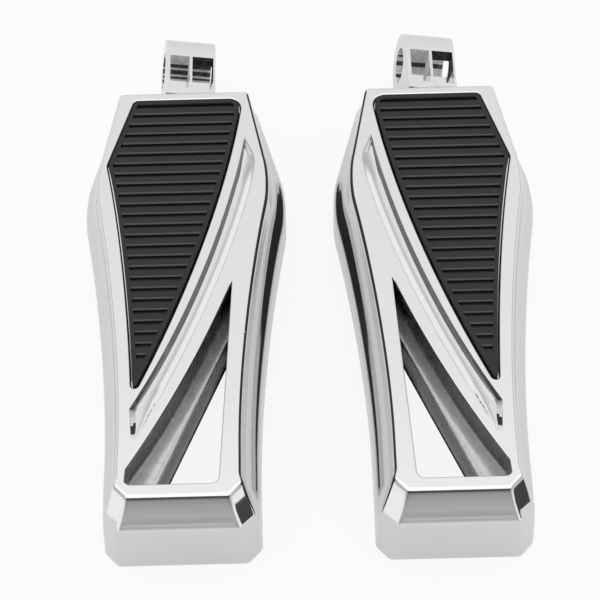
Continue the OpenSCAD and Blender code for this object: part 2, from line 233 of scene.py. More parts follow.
class Skin:
    """A closed surface made of patches that carry their own exact normals."""

    def __init__(self):
        self.points = []
        self.index = {}
        self.faces = []
        self.normals = []

    def point(self, p):
        key = (round(p[0], 4), round(p[1], 4), round(p[2], 4))
        if key not in self.index:
            self.index[key] = len(self.points)
            self.points.append(Vector(p))
        return self.index[key]

    def face(self, corners, normals):
        keep = []
        for p, n in zip(corners, normals):
            i = self.point(p)
            if i not in [k for k, _ in keep]:
                keep.append((i, n))
        if len(keep) < 3:
            return
        at = [self.points[i] for i, _ in keep]
        flat = Vector((0, 0, 0))
        for i in range(1, len(at) - 1):
            flat += (at[i] - at[0]).cross(at[i + 1] - at[0])
        lean = sum((n for _, n in keep), Vector((0, 0, 0)))
        if flat.dot(lean) < 0:
            keep.reverse()
        self.faces.append([i for i, _ in keep])
        self.normals.append([n for _, n in keep])

    def grid(self, rows, normals, closed=True):
        for a, b, na, nb in zip(rows, rows[1:], normals, normals[1:]):
            for i in range(len(a) if closed else len(a) - 1):
                j = (i + 1) % len(a)
                self.face([a[i], a[j], b[j], b[i]], [na[i], na[j], nb[j], nb[i]])

    def fill(self, outline, holes, normal, flat=lambda p: (p.x, p.y), inner=()):
        """Patch inside an outline and outside its holes. flat gives the two
        coordinates that the patch is laid out in."""
        source = [p for loop in [outline] + list(holes) for p in loop]
        edges, first = [], 0
        for loop in [outline] + list(holes):
            edges += [(first + i, first + (i + 1) % len(loop)) for i in range(len(loop))]
            first += len(loop)
        for a, b in inner:
            edges.append((source.index(a), source.index(b)))
        pts = [Vector(flat(p)) for p in source]
        bounds = [[flat(p) for p in loop] for loop in [outline] + list(holes)]
        out = delaunay_2d_cdt(pts, edges, [], 1, 1e-6)
        for tri in out[2]:
            mid = sum((out[0][i] for i in tri), Vector((0, 0))) / len(tri)
            if inside(mid, bounds[0]) and not any(inside(mid, h) for h in bounds[1:]):
                corners = [source[out[3][i][0]] for i in tri]
                self.face(corners, [normal(c) if callable(normal) else normal for c in corners])

    def wall(self, loop, stations, foot=None, gap=None):
        """Strip round an outline. Each station is the distance out of the
        outline, the height, and the tilt of the surface from the vertical.
        The last column of the rows from gap on is left open."""
        away = outward(loop)
        rows, normals = [], []
        for out, z, tilt in stations:
            s, c = math.sin(math.radians(tilt)), math.cos(math.radians(tilt))
            rows.append([Vector((p.x, p.y, 0)) + n * out + UP * z for p, n in zip(loop, away)])
            normals.append([-n.normalized() * s + UP * c for n in away])
        if foot:
            rows.append([Vector((p.x, p.y, z)) for p, z in zip(loop, foot)])
            normals.append([-n.normalized() for n in away])
        if gap is None:
            self.grid(rows, normals)
        else:
            self.grid(rows[:gap + 1], normals[:gap + 1])
            self.grid(rows[gap:], normals[gap:], closed=False)
        return rows

    def mesh(self, name, flip):
        """The finished mesh in metres, moved to its peg's place."""
        side = -1 if flip else 1
        move = Vector((-side * PITCH / 2, -MID_Y, 0))
        mesh = bpy.data.meshes.new(name)
        pts = [(Vector((side * p.x, p.y, p.z)) + move) * MM for p in self.points]
        faces = [list(reversed(f)) if flip else f for f in self.faces]
        mesh.from_pydata(pts, [], faces)
        mesh.polygons.foreach_set("use_smooth", [True] * len(faces))
        loops = []
        for row in self.normals:
            row = list(reversed(row)) if flip else row
            loops += [(side * n.x, n.y, n.z) for n in row]
        mesh.normals_split_custom_set(loops)
        mesh.update()
        return mesh


def inside(p, loop):
    hit = False
    for i, b in enumerate(loop):
        a = loop[i - 1]
        if (a[1] > p[1]) != (b[1] > p[1]) and p[0] < (b[0] - a[0]) * (p[1] - a[1]) / (b[1] - a[1]) + a[0]:
            hit = not hit
    return hit


def surface_normals(rows, closed=False):
    """Normals of a grid of points, from its two directions."""
    out = []
    for r, row in enumerate(rows):
        line = []
        before, after = rows[max(r - 1, 0)], rows[min(r + 1, len(rows) - 1)]
        for i in range(len(row)):
            j, k = (i + 1) % len(row), i - 1
            if not closed:
                j, k = min(i + 1, len(row) - 1), max(i - 1, 0)
            n = (after[i] - before[i]).cross(row[j] - row[k])
            line.append(n.normalized() if n.length > 1e-9 else UP.copy())
        out.append(line)
    return out


def facing_up(normals):
    """The same normals, turned over if they point down on the whole."""
    if sum(n.z for row in normals for n in row) < 0:
        return [[-n for n in row] for row in normals]
    return normals


def top_round(r, z=BODY_H, n=4):
    """Stations of a rounded upper edge."""
    return [(r * (1 - math.sin(a)), z - r * (1 - math.cos(a)), math.degrees(a))
            for a in (math.pi / 2 * i / n for i in range(n + 1))]


def foot_round(r, z=0.0, n=3):
    """Stations of a rounded lower edge."""
    return [(r * (1 - math.sin(a)), z + r * (1 + math.cos(a)), math.degrees(a))
            for a in (math.pi / 2 * (1 + i / n) for i in range(n + 1))]


# Outlines of the casting

# Height, and share of the full inset of the side
INSET_AT = (
    (9.6, 0.0), (11.04, 0.08), (12.48, 0.3), (14.4, 0.55),
    (16.8, 0.73), (20.16, 0.84), (23.28, 0.92), (24.0, 0.985))
# Height, and share of the full lean of the inboard face
END_AT = ((14.4, 0.0), (16.8, 0.05), (20.16, 0.3), (23.28, 0.75), (24.0, 1.0))


def hood_at(z, k):
    """Corner of the end slope at a height, blended round the middle crease."""
    low, middle, high = (Vector(p) for p in HOOD[k])
    top, foot = HOOD_Z + HOOD_BLEND, HOOD_Z - HOOD_BLEND

    def line(h):
        if h > HOOD_Z:
            return middle + (high - middle) * (h - HOOD_Z) / (BODY_H - HOOD_Z)
        return low + (middle - low) * h / HOOD_Z
    if foot < z < top:
        t = (top - z) / (top - foot)
        return line(top) * (1 - t) ** 2 + middle * 2 * t * (1 - t) + line(foot) * t * t
    p, bulge = line(z), 0.0
    if z > HOOD_Z:
        t = (z - top) / (BODY_H - top)
        bulge = HOOD_BULGE * 4 * t * (1 - t)
    return Vector((p.x, p.y - bulge))


def half_ring(z):
    """Outline of the +X half at a height, from the inboard end to the middle of
    the outboard end."""
    inset = INSET * smooth_value(INSET_AT, z)
    end = IN_ROUND * smooth_value(END_AT, z)
    chamfer = max(0.0, 1 - z / FOOT_CHAMFER)
    inset += FOOT_CHAMFER * chamfer
    end += END_CHAMFER * chamfer
    start = Vector((IN_X - inset * END_INSET, IN_Y - end, 0))
    bend = Vector((SHOULDER[0][0] - inset, SHOULDER[0][1], 0))
    out = rounded(Vector((0, IN_Y - end, 0)), start, bend, IN_CORNER, 5)
    first = out[-1].copy()
    out += [first + (bend - first) * i / 9 for i in range(1, 9)]
    out += [Vector((p[0] - inset, p[1], 0)) for p in curve_points(SHOULDER, 8) + curve_points(WAIST, 34, 1)]
    corner = Vector((SIDE_END[0] - inset, SIDE_END[1], 0))
    a, b = (Vector((p.x - HOOD_CHAMFER[0] * chamfer, p.y + HOOD_CHAMFER[1] * chamfer, 0))
            for p in (hood_at(z, 0), hood_at(z, 1)))
    out += rounded(out[-1], corner, a, SIDE_CORNER, 5)
    out += rounded(corner, a, b, HOOD_CORNER, 5)
    out += rounded(a, b, Vector((0, b.y, 0)), HOOD_CORNER, 5)
    last = out[-1].copy()
    out += [Vector((last.x * (1 - i / 5), last.y, 0)) for i in range(1, 6)]
    return out


def flipped(points):
    return [Vector((-p.x, p.y, p.z)) for p in points]


def ring(z):
    """Open outline from the -X end of the inboard face round to its +X end."""
    half = half_ring(z)
    return [Vector((p.x, p.y, z)) for p in flipped(half) + list(reversed(half))[1:]]


def pad_outline(m, cut=0.9):
    """Outline of the tread recess, shrunk by a margin that each side takes along
    its own normal."""
    x, y, r = PAD_INNER[0][0] - PAD_CORNER_R, PAD_CORNER[1] - PAD_CORNER_R, PAD_CORNER_R - m
    loop = [(x + r * math.cos(a), y + r * math.sin(a)) for a in (math.radians(90 - 10 * i) for i in range(9))]
    for i, p in enumerate(curve_points(PAD_INNER, 40)):
        loop.append((p[0] - m * 0.96, p[1] - m * (0.28 - i / 40)))
    for i, p in enumerate(curve_points(PAD_OUTER, 24)):
        loop.append((p[0] + m, p[1] + m * (0.2 - 0.5 * i / 24)))
    loop.append((PAD_CORNER[0] + 0.6 * m, PAD_CORNER[1] - m))
    return round_loop(loop, cut, 4, 18)


def crescent_section(i):
    """Section of the crescent groove at a place from 0 to 15 along it: points
    down its left wall, and points from its lowest line up to its right edge."""
    left = curve_at(CRESCENT_LEFT, i / 12)
    if i > 12:
        left = tuple(mix(CRESCENT_LEFT[3][k], CRESCENT_TAIL[k], (i - 12) / 3) for k in (0, 1))
    right = curve_at(CRESCENT_RIGHT, i / 15)
    deep = CRESCENT_D * min(1, 0.35 + i / 3, 0.3 + (15 - i) / 4) * min(1, i / 0.35, (15 - i) / 0.5)
    share = 0.03 + 0.45 * (i / 15) ** 8
    a, b = vec(left, BODY_H), vec(right, BODY_H)
    low = a + (b - a) * share - UP * deep
    lip = min(CRESCENT_LIP, (b - a).length * 0.08)
    edge = a + (a - b).normalized() * lip
    down = a + (low - a) * min(0.5, lip / max(1e-6, (low - a).length))
    wall = [edge * (1 - t) ** 2 + a * 2 * t * (1 - t) + down * t * t for t in (0, 0.33, 0.67, 1)]
    wall += [down + (low - down) * t for t in (0.5, 1)]
    run = b - (low + UP * deep)
    c0, c1 = low + run * 0.62, b - run * 0.16
    slope = [low * (1 - t) ** 3 + c0 * 3 * t * (1 - t) ** 2 + c1 * 3 * t * t * (1 - t) + b * t ** 3
             for t in (k / 8 for k in range(9))]
    return wall, slope


def arc(x, y, r, start, turn, n):
    """Arc in steps, from an angle on through a turn, both in degrees."""
    return [Vector((x + r * math.cos(a), y + r * math.sin(a), 0))
            for a in (math.radians(start + turn * i / n) for i in range(n + 1))]


def window_chains():
    """Left sides of the window above and below the ledge, and the edges that
    both share, from the outboard edge round to the inboard tip."""
    n, corner_y = 36, WINDOW_OUT_Y + WINDOW_R

    def corner(x):
        return arc(x + WINDOW_R + 0.5, corner_y, WINDOW_R, 215, 55, 5)
    upper = [vec(p) for p in curve_points(WINDOW_LEFT, n)][:-1] + corner(WINDOW_LEFT[3][0])
    slope = (WINDOW_LEFT[0][0] - WINDOW_SIDE_X) / (WINDOW_LEFT[0][1] - corner_y)
    tip = Vector((WINDOW_SIDE_X + slope * (OPENING_APEX_Y - corner_y), OPENING_APEX_Y, 0))
    end = Vector((OPENING_LEFT_X, corner_y, 0))
    lower = [tip + (end - tip) * (i / n) for i in range(n)] + corner(OPENING_LEFT_X)
    right = arc(WINDOW_SIDE_X - WINDOW_R, corner_y, WINDOW_R, 270, 90, 8)
    first = lower[-1]
    shared = [first + (right[0] - first) * i / 6 for i in range(1, 6)] + right
    shared += [right[-1] + (tip - right[-1]) * i / 24 for i in range(1, 24)]
    return upper, lower, shared


def ledge_row(a, b):
    """Section of the ledge from the upper wall at a to the opening at b."""
    width = (b - a).length
    d = (b - a).normalized()
    r = min(LEDGE_FILLET, (width - LEDGE_EDGE) * 0.85)
    out = []
    for i in range(10):
        t = math.pi / 2 * i / 9
        out.append(a + d * r * (1 - math.cos(t)) + UP * (LEDGE_Z + r * (1 - math.sin(t))))
    flat = width - r - LEDGE_EDGE
    for i in range(1, 4):
        out.append(a + d * (r + flat * i / 4) + UP * LEDGE_Z)
    for i in range(5):
        t = math.pi / 2 * i / 4
        out.append(b - d * LEDGE_EDGE * (1 - math.sin(t)) + UP * (LEDGE_Z - LEDGE_EDGE * (1 - math.cos(t))))
    return out


def pocket_outline(wall, more):
    """Outline of the underside pocket inside a wall, or with more = 1 that of its
    narrower upper part."""
    side = [(IN_X, IN_Y)] + curve_points(SHOULDER, 6) + curve_points(WAIST, 14, 1)
    side = [(p[0] - wall, p[1]) for p in side if POCKET_OUT_Y + 3 * more < p[1] < POCKET_IN_Y]
    bend = SHOULDER[0]
    corner = (mix(bend[0], IN_X, (POCKET_IN_Y - bend[1]) / (IN_Y - bend[1])) - wall, POCKET_IN_Y)
    window = [curve_at(WINDOW_LEFT, i / 14) for i in range(12 - more)]
    loop = [corner] + [p for p in side if p[1] > WINDOW_LEFT[0][1] + POCKET_WINDOW_WALL]
    loop += [(p[0] - POCKET_WINDOW_WALL - 0.8 * more, p[1]) for p in window]
    loop += [(-p[0], p[1]) for p in reversed([corner] + side)]
    return loop


def cut_loop(loop, low, high):
    """Part of an outline between two lines across the peg."""
    for limit, sign in ((low, 1), (high, -1)):
        out = []
        for i, b in enumerate(loop):
            a = loop[i - 1]
            ins_a, ins_b = sign * (a[1] - limit) >= 0, sign * (b[1] - limit) >= 0
            if ins_a != ins_b:
                t = (limit - a[1]) / (b[1] - a[1])
                out.append((mix(a[0], b[0], t), limit))
            if ins_b:
                out.append(b)
        loop = out
    return loop


def end_y(z):
    return IN_Y - IN_ROUND * smooth_value(END_AT, z)


def add_side(skin):
    """Rounded tread edge, the side down to the foot and the inboard face. Returns
    the outlines of the tread plane, of the underside and of the bolt's hole."""
    sharp, below = ring(BODY_H), ring(EDGE_Z)
    tread = []
    for p, q, n in zip(sharp, below, outward([Vector((p.x, p.y, 0)) for p in sharp])):
        tread.append(p - n.normalized() * (p - q).length)
    reach = (sharp[0] - below[0]).length
    tread[0] = Vector((sharp[0].x, sharp[0].y - reach, BODY_H))
    tread[-1] = Vector((-tread[0].x, tread[0].y, BODY_H))
    rows = [[a * (1 - t) ** 2 + b * 2 * t * (1 - t) + c * t * t for a, b, c in zip(tread, sharp, below)]
            for t in (0, 0.25, 0.5, 0.75)]
    levels = [EDGE_Z] + [23.2 - 0.45 * i for i in range(19)]
    levels += [14.7 - 0.35 * i for i in range(15)] + [9.3, 8.6, 7.0, 5.0, 3.0, FOOT_CHAMFER, 0.0]
    rows += [ring(z) for z in levels]
    whole = [row + [row[-1] + (row[0] - row[-1]) * i / 10 for i in range(1, 10)] for row in rows]
    normals = surface_normals(whole, closed=True)
    normals[0] = [UP.copy() for _ in normals[0]]
    n, last = len(rows[0]), len(rows) - 1
    split = next(i for i, row in enumerate(rows) if row[0].z < FACE_TOP_Z)
    skin.grid(whole[:split + 1], normals[:split + 1])
    skin.grid([r[:n] for r in whole[split:last]], [m[:n] for m in normals[split:last]], closed=False)
    bevel = surface_normals(whole[last - 1:], closed=True)
    skin.grid(whole[last - 1:], bevel)

    right = [r[n - 1] for r in whole[split + 1:last]]
    left = [r[0] for r in whole[split + 1:last]]
    outline = [whole[split][0]] + list(reversed(whole[split][n:])) + [whole[split][n - 1]]
    outline += right + whole[last - 1][n:] + list(reversed(left))
    edges = [(a, b) for a, b in zip(left, right)][:-1]
    return whole[0], whole[last], add_inboard_face(skin, outline, edges)


def add_inboard_face(skin, outline, edges):
    """Inboard face with the seat of the tongue's flange, and the bolt's hole
    behind it. Edges holds the two ends of each row that crosses the face."""
    rows = [(a, b) for a, b in edges if 14.0 < a.z < TONGUE_Z + SEAT_R - 0.15]
    angles = [2 * math.pi * i / 48 for i in range(48)]
    for row, _ in rows:
        a = math.asin((row.z - TONGUE_Z) / SEAT_R)
        angles = [b for b in angles if min(abs(b - a), abs(b - math.pi + a)) > 0.03] + [a, math.pi - a]
    angles.sort()
    mouth = [Vector((SEAT_R * math.cos(a), end_y(z), z))
             for a, z in ((a, TONGUE_Z + SEAT_R * math.sin(a)) for a in angles)]
    inner = []
    for a, b in rows:
        at = sorted((p for p in mouth if abs(p.z - a.z) < 1e-6), key=lambda p: p.x)
        inner += [(a, at[0]), (b, at[-1])]

    def tilt(p):
        return Vector((0, 1, -(end_y(p.z + 0.05) - end_y(p.z - 0.05)) / 0.1)).normalized()

    def flat(p):
        return p.x, p.z
    skin.fill(outline, [mouth], tilt, flat, inner)
    seat = [mouth, [Vector((p.x, SEAT_Y, p.z)) for p in mouth]]
    inward = [Vector((-math.cos(a), 0, -math.sin(a))) for a in angles]
    skin.grid(seat, [inward, inward])
    bolt = [[Vector((p.x, y, p.y + TONGUE_Z)) for p in circle(0, 0, BOLT_HOLE_R, 40)]
            for y in (SEAT_Y, POCKET_IN_Y)]
    skin.fill(seat[1], [bolt[0]], Vector((0, 1, 0)), flat)
    inward = [Vector((-p.x, 0, TONGUE_Z - p.z)).normalized() for p in bolt[0]]
    skin.grid(bolt, [inward, inward])
    return bolt[1]


def add_window(skin):
    """Window with its ledge. Returns its outlines on the tread and underside."""
    upper, lower, shared = window_chains()
    ledge = [ledge_row(a, b) for a, b in zip(upper, lower)]
    skin.grid(ledge, facing_up(surface_normals(ledge)), closed=False)
    edge_z = LEDGE_Z - LEDGE_EDGE
    loop = upper + ledge[-1][1:-1] + [lower[-1]] + shared + [lower[0]] + list(reversed(ledge[0][1:-1]))
    foot = [row[0].z for row in ledge] + [p.z for p in ledge[-1][1:-1]] + [edge_z] * (len(shared) + 2)
    foot += [p.z for p in reversed(ledge[0][1:-1])]
    top = skin.wall([Vector((p.x, p.y, 0)) for p in loop], top_round(0.35), foot)
    loop = lower + shared
    bottom = skin.wall(loop, [(0, edge_z, 90)] + list(reversed(foot_round(0.4))))
    return top[0], bottom[-1]


def add_crescent(skin):
    """Crescent groove. Returns its outline on the tread."""
    places = [0, 0.1, 0.2, 0.35, 0.5, 0.75] + [1 + 0.25 * k for k in range(53)]
    places += [14.2, 14.4, 14.5, 14.7, 14.85, 15]
    both = [crescent_section(i) for i in places]
    walls, slopes = [w for w, _ in both], [s for _, s in both]
    marks = facing_up(surface_normals(walls))
    for row in marks:
        row[0] = UP.copy()
    skin.grid(walls, marks, closed=False)
    marks = facing_up(surface_normals(slopes))
    for row in marks:
        row[-1] = UP.copy()
    skin.grid(slopes, marks, closed=False)
    last = walls[-1][1:] + slopes[-1][1:]
    first = walls[0][1:] + slopes[0][1:]
    return [w[0] for w in walls] + last + [s[-1] for s in reversed(slopes[1:-1])] + list(reversed(first))


def add_recess(skin):
    """Recess of the pad, with the holes for its studs. Returns its outline."""
    rows = skin.wall(pad_outline(0), top_round(0.7, n=6) + [(0, RECESS_Z, 90)])
    studs = [circle(x, y, STUD_HOLE_R, 32) for x, y in STUD_AT]
    for loop in studs:
        skin.wall(loop, [(0, RECESS_Z, 90), (0, POCKET_Z, 90)])
    skin.fill(rows[-1], [[p + UP * RECESS_Z for p in loop] for loop in studs], UP)
    return rows[0], [[p + UP * POCKET_Z for p in loop] for loop in studs]


def add_pocket(skin, studs, bolt):
    """Underside pocket and its ribs. Returns its outline on the underside."""
    walls = ((POCKET_WALL, 0), (POCKET_TOP_WALL, 1))
    low, high = (round_loop(pocket_outline(*wall), 1.2, 3, 12) for wall in walls)
    # Each outline starts after its inboard edge, so that the edge comes last
    for loop in (low, high):
        while not (abs(loop[-1].y - POCKET_IN_Y) < 1e-6 and abs(loop[0].y - POCKET_IN_Y) < 1e-6):
            loop.append(loop.pop(0))
    stations = sorted(foot_round(0.4), key=lambda s: s[1]) + [(0, POCKET_STEP_Z, 90)]
    rows = skin.wall(low, stations, gap=len(stations) - 2)
    upper = skin.wall(high, [(0, POCKET_STEP_Z, 90), (0, POCKET_Z, 90)], gap=0)
    skin.fill(rows[-1], [upper[0]], -UP)
    skin.fill(upper[1], studs, -UP)
    a, b = rows[-2], rows[-1]
    face = [a[0], b[0], upper[0][0], upper[1][0], upper[1][-1], upper[0][-1], b[-1], a[-1]]
    skin.fill(face, [bolt], Vector((0, -1, 0)), lambda p: (p.x, p.z))
    for y in RIB_AT:
        add_rib(skin, low, y, 0.8, RIB_Z, POCKET_STEP_Z + 0.4)
        add_rib(skin, high, y, 0.6, POCKET_STEP_Z - 1, POCKET_Z + 0.5)
    return rows[0]


def add_rib(skin, loop, y, over, low, high):
    """Rib across the pocket, which runs into the walls by a little."""
    xs = [p[0] for p in cut_loop([(p.x, p.y) for p in loop], y - RIB_T / 2, y + RIB_T / 2)]
    ends = (min(xs) - over, max(xs) + over)
    rib = [Vector((ends[k], y + s * RIB_T / 2, 0)) for k, s in ((0, -1), (1, -1), (1, 1), (0, 1))]
    away = outward(rib)
    e = RIB_EDGE
    lines = [(e, low, 180), (0.3 * e, low + 0.3 * e, 135), (0, low + e, 90), (0, high, 90)]
    pts = [[p - n * o + UP * z for p, n in zip(rib, away)] for o, z, _ in lines]
    marks = [[n.normalized() * math.sin(t) + UP * math.cos(t) for n in away]
             for t in (math.radians(tilt) for _, _, tilt in lines)]
    skin.grid(pts, marks)
    skin.fill(pts[0], [], -UP)
    skin.fill(pts[-1], [], UP)


def peg_skin():
    """The whole casting as one closed skin."""
    skin = Skin()
    tread, underside, bolt = add_side(skin)
    window_top, window_foot = add_window(skin)
    groove = add_crescent(skin)
    recess, studs = add_recess(skin)
    pocket = add_pocket(skin, studs, bolt)
    hollow = round_loop(END_POCKET, 1.0)
    stations = sorted(foot_round(0.3), key=lambda s: s[1]) + [(0, END_POCKET_Z, 90)]
    rows = skin.wall(hollow, stations)
    skin.fill(rows[-1], [], -UP)
    skin.fill(tread, [recess, groove, window_top], UP)
    skin.fill(underside, [pocket, window_foot, rows[0]], -UP)
    return skin


# Settings


class FinishSettings(PropertyGroup):
    """Colours and surface values of the finishes"""

    chrome_tint: FloatVectorProperty(
        name="Chrome tint", description="Colour of the chrome plate",
        subtype="COLOR", size=3, min=0, max=1, default=(0.72, 0.72, 0.725))
    chrome_roughness: FloatProperty(
        name="Chrome roughness", description="Blur of the reflections in the chrome",
        subtype="FACTOR", min=0, max=1, default=0.05)
    rubber_tint: FloatVectorProperty(
        name="Rubber tint", description="Colour of the tread rubber",
        subtype="COLOR", size=3, min=0, max=1, default=(0.018, 0.018, 0.0185))
    cast_tint: FloatVectorProperty(
        name="Raw casting tint", description="Colour of the unplated metal in the tongue's slot",
        subtype="COLOR", size=3, min=0, max=1, default=(0.16, 0.16, 0.16))
    zinc_tint: FloatVectorProperty(
        name="Zinc tint", description="Colour of the plated nuts, washers and bolts",
        subtype="COLOR", size=3, min=0, max=1, default=(0.55, 0.56, 0.57))


class TreadSettings(PropertyGroup):
    """Sizes of the grooves in the rubber tread"""

    groove_count: IntProperty(
        name="Grooves", description="Number of grooves across the tread", min=1, max=60, default=25)
    groove_pitch: FloatProperty(
        name="Groove pitch", description="Distance from groove to groove",
        subtype="DISTANCE", unit="LENGTH", default=3.27 * MM)
    groove_width: FloatProperty(
        name="Groove width", description="Width of a groove",
        subtype="DISTANCE", unit="LENGTH", default=1.25 * MM)
    groove_depth: FloatProperty(
        name="Groove depth", description="Depth of a groove",
        subtype="DISTANCE", unit="LENGTH", default=1.2 * MM)
    border: FloatProperty(
        name="Border", description="Plain border round the grooved field",
        subtype="DISTANCE", unit="LENGTH", default=1.45 * MM)
    edge_bevel: FloatProperty(
        name="Edge bevel", description="Bevel on the near edge of each rib",
        subtype="DISTANCE", unit="LENGTH", default=0.35 * MM)


class StageSettings(PropertyGroup):
    """Camera of the studio"""

    camera_elevation: FloatProperty(
        name="Camera elevation", description="Angle of the camera above the floor",
        subtype="ANGLE", default=math.radians(60))
    camera_distance: FloatProperty(
        name="Camera distance", description="From the camera to the tread plane",
        subtype="DISTANCE", unit="LENGTH", default=0.428)
    camera_lens: FloatProperty(
        name="Camera lens", description="Focal length in millimetres on a 36 mm sensor",
        default=99.4)
    camera_roll: FloatProperty(
        name="Camera roll", description="Turn of the camera about its own axis",
        subtype="ANGLE", default=math.radians(-1.45))


# Mesh helpers


def obj_from(mesh, name):
    ob = bpy.data.objects.new(name, mesh)
    bpy.context.scene.collection.objects.link(ob)
    return ob


def placed(points, flip):
    """Moves points in peg millimetres to the peg's place in metres."""
    side = -1 if flip else 1
    return [(Vector((side * p.x - side * PITCH / 2, p.y - MID_Y, p.z))) * MM for p in points]


def face_outward(mesh):
    """Turns the faces of a closed mesh outward."""
    bm = bmesh.new()
    bm.from_mesh(mesh)
    bmesh.ops.recalc_face_normals(bm, faces=bm.faces)
    bm.to_mesh(mesh)
    bm.free()


def between(name, low, high):
    """Closed mesh between two like outlines."""
    n = len(low)
    mesh = bpy.data.meshes.new(name)
    faces = [list(range(n)), list(range(n, 2 * n))]
    faces += [[i, (i + 1) % n, n + (i + 1) % n, n + i] for i in range(n)]
    mesh.from_pydata(low + high, [], faces)
    face_outward(mesh)
    return obj_from(mesh, name)


def prism(name, loop, low, high, flip):
    """Upright closed block on an outline in peg millimetres."""
    return between(name, *(placed([Vector((p.x, p.y, z)) for p in loop], flip) for z in (low, high)))


def bake(ob):
    """Turns an object's modifiers into its mesh."""
    bpy.context.view_layer.update()
    deps = bpy.context.evaluated_depsgraph_get()
    mesh = bpy.data.meshes.new_from_object(ob.evaluated_get(deps), depsgraph=deps)
    old = ob.data
    ob.modifiers.clear()
    ob.data = mesh
    mesh.name = old.name
    return ob


def round_edges(ob, width, angle):
    mod = ob.modifiers.new("Rounding", "BEVEL")
    mod.limit_method = "ANGLE"
    mod.angle_limit = math.radians(angle)
    mod.width = width
    mod.segments = 3
    mod.miter_outer = "MITER_ARC"
    mod.harden_normals = True
    for poly in ob.data.polygons:
        poly.use_smooth = True
    return ob


def finish_piece(ob, slot, *nodes):
    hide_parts(*nodes)
    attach(ob, "root")
    return ob


# Node helpers


def feed(tree, node, values):
    """Gives each input of a node a number, or the output to link it to."""
    pairs = values.items() if isinstance(values, dict) else enumerate(values)
    for key, value in pairs:
        if isinstance(value, bpy.types.NodeSocket):
            tree.links.new(value, node.inputs[key])
        else:
            node.inputs[key].default_value = value


def math_node(tree, operation, *values, clamp=False):
    node = tree.nodes.new("ShaderNodeMath")
    node.operation = operation
    node.use_clamp = clamp
    feed(tree, node, values)
    return node.outputs[0]


def noise_node(tree, vector, scale, detail, roughness):
    node = tree.nodes.new("ShaderNodeTexNoise")
    feed(tree, node, {"Detail": detail, "Roughness": roughness, "Scale": scale, "Vector": vector})
    return node.outputs["Fac"]


def map_value(tree, value, limits, kind="LINEAR"):
    """Takes a value from the span of the first two limits to that of the last two."""
    node = tree.nodes.new("ShaderNodeMapRange")
    node.interpolation_type = kind
    feed(tree, node, dict(zip(("From Min", "From Max", "To Min", "To Max"), limits)))
    feed(tree, node, {"Value": value})
    return node.outputs["Result"]


def split_vector(tree, vector):
    node = tree.nodes.new("ShaderNodeSeparateXYZ")
    feed(tree, node, (vector,))
    return node.outputs


def mix_shaders(tree, share, a, b, output):
    """Sends a mix of two shaders to an output node."""
    mixer = tree.nodes.new("ShaderNodeMixShader")
    feed(tree, mixer, (share, a, b))
    feed(tree, tree.nodes[output], {"Surface": mixer.outputs[0]})


def mix_colors(tree, share, a, b):
    node = tree.nodes.new("ShaderNodeMix")
    node.data_type = "RGBA"
    feed(tree, node, {"Factor": share, "A": a, "B": b})
    return node.outputs["Result"]


# Shader groups


def group_tree(name, inputs, outputs):
    """New shader node group: inputs are (name, type, default), outputs are (name, type)."""
    tree = bpy.data.node_groups.new(name, "ShaderNodeTree")
    for label, kind, default in inputs:
        socket = tree.interface.new_socket(name=label, in_out="INPUT", socket_type="NodeSocket" + kind)
        if default is not None:
            socket.default_value = default
    for label, kind in outputs:
        tree.interface.new_socket(name=label, in_out="OUTPUT", socket_type="NodeSocket" + kind)
    return tree, tree.nodes.new("NodeGroupInput").outputs, tree.nodes.new("NodeGroupOutput")


def pits_group():
    """Rare small pits and nicks: a mask and a height."""
    tree, given, out = group_tree(
        "Pits", [("Vector", "Vector", None), ("Scale", "Float", 90.0), ("Share", "Float", 0.12)],
        [("Mask", "Float"), ("Height", "Float")])
    cells = tree.nodes.new("ShaderNodeTexVoronoi")
    feed(tree, cells, {"Randomness": 1.0, "Vector": given["Vector"], "Scale": given["Scale"]})
    pick = tree.nodes.new("ShaderNodeSeparateColor")
    feed(tree, pick, {"Color": cells.outputs["Color"]})
    rare = math_node(tree, "LESS_THAN", pick.outputs["Red"], given["Share"])
    size = math_node(tree, "MULTIPLY_ADD", pick.outputs["Green"], 0.05, 0.03)
    near = math_node(tree, "DIVIDE", cells.outputs["Distance"], size)
    dot = math_node(tree, "SUBTRACT", 1.0, near, clamp=True)
    mask = math_node(tree, "MULTIPLY", dot, rare)
    feed(tree, out, {"Mask": mask, "Height": math_node(tree, "MULTIPLY", mask, -1.0)})
    return tree


def grain_group():
    """Fine grain with slow clouds: a value from 0 to 1 and a height."""
    inputs = [("Vector", "Vector", None), ("Fine scale", "Float", 2500.0), ("Cloud scale", "Float", 60.0)]
    tree, given, out = group_tree("Grain", inputs, [("Clouds", "Float"), ("Height", "Float")])
    fine = noise_node(tree, given["Vector"], given["Fine scale"], 4.0, 0.6)
    slow = noise_node(tree, given["Vector"], given["Cloud scale"], 3.0, 0.55)
    feed(tree, out, {"Clouds": slow, "Height": fine})
    return tree


def wear_group():
    """Mask of edges and points that stand out."""
    tree, given, out = group_tree("Edge wear", [("Width", "Float", 0.06)], [("Mask", "Float")])
    geo = tree.nodes.new("ShaderNodeNewGeometry")
    low = math_node(tree, "SUBTRACT", geo.outputs["Pointiness"], 0.5)
    feed(tree, out, {"Mask": math_node(tree, "DIVIDE", low, given["Width"], clamp=True)})
    return tree


# Materials

GROUP = {}
FINISH = {}


def new_material(name, metallic):
    """A material, its tree, its shader and its texture coordinates."""
    mat = bpy.data.materials.new(name)
    mat.use_nodes = True
    tree = mat.node_tree
    shader = tree.nodes["Principled BSDF"]
    shader.inputs["Metallic"].default_value = metallic
    return mat, tree, shader, tree.nodes.new("ShaderNodeTexCoord").outputs


